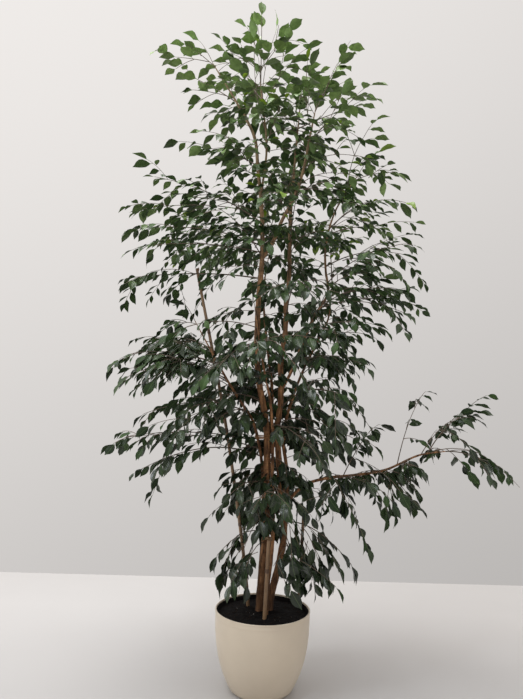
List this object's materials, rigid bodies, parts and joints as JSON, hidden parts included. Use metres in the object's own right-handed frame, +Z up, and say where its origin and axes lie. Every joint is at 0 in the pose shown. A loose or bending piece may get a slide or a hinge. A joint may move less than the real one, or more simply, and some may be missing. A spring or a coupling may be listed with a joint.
{
  "type": "weeping fig",
  "caption": "Tall weeping fig in a round tapering planter: woody stems tied together, bamboo support canes and a spreading leafy crown.",
  "frame": {"origin": "centre of the pot's flat base, on the floor", "axes": "+Z up along the pot's axis, +X to the plant's right as seen from its front, +Y to its back"},
  "size_m": [1.7808, 1.0085, 3.0887],
  "materials": {
    "pot": "satin cream plastic",
    "soil": "moist dark potting soil",
    "bamboo": "dull tan bamboo",
    "bark": "rough orange-brown bark",
    "tie": "fibrous brown tie",
    "foliage": "glossy dark green leaves on thin twigs"
  },
  "bodies": {
    "root": {"pot": "pot", "soil": "soil", "cane_left": "bamboo", "cane_front": "bamboo", "cane_right": "bamboo", "stem_main": "bark", "stem_right": "bark", "stem_left": "bark", "stem_side": "bark", "stem_back": "bark", "stem_front": "bark", "stem_tie": "tie", "branch_leader": "foliage", "branch_top_left": "foliage", "branch_top_left_low": "foliage", "branch_top_right": "foliage", "branch_top_right_low": "foliage", "branch_top_right_back": "foliage", "branch_top_front": "foliage", "branch_top_back": "foliage", "branch_top_back_right": "foliage", "branch_upper_left": "foliage", "branch_mid_left": "foliage", "branch_mid_left_low": "foliage", "branch_mid_left_back": "foliage", "branch_mid_left_front": "foliage", "branch_mid_right": "foliage", "branch_mid_right_front": "foliage", "branch_mid_right_back": "foliage", "branch_mid_right_level": "foliage", "branch_mid_right_low": "foliage", "branch_mid_front": "foliage", "branch_mid_front_low": "foliage", "branch_mid_back": "foliage", "branch_mid_back_right": "foliage", "branch_level_left": "foliage", "branch_cluster_right": "foliage", "branch_cluster_back": "foliage", "branch_mass_left": "foliage", "branch_mass_left_high": "foliage", "branch_mass_left_low": "foliage", "branch_low_left": "foliage", "branch_front_left": "foliage", "branch_back_left": "foliage", "branch_low_right": "foliage", "branch_low_right_back": "foliage", "branch_limb_near": "foliage", "branch_limb_upright": "foliage", "branch_limb_end": "foliage", "branch_limb_hanging": "foliage", "branch_limb_inner": "foliage", "branch_base_left": "foliage", "branch_base_left_low": "foliage", "branch_base_front_left": "foliage", "branch_base_front_right": "foliage", "branch_base_front": "foliage", "branch_base_right": "foliage", "branch_base_right_back": "foliage", "branch_base_back": "foliage"}
  },
  "joints": []
}
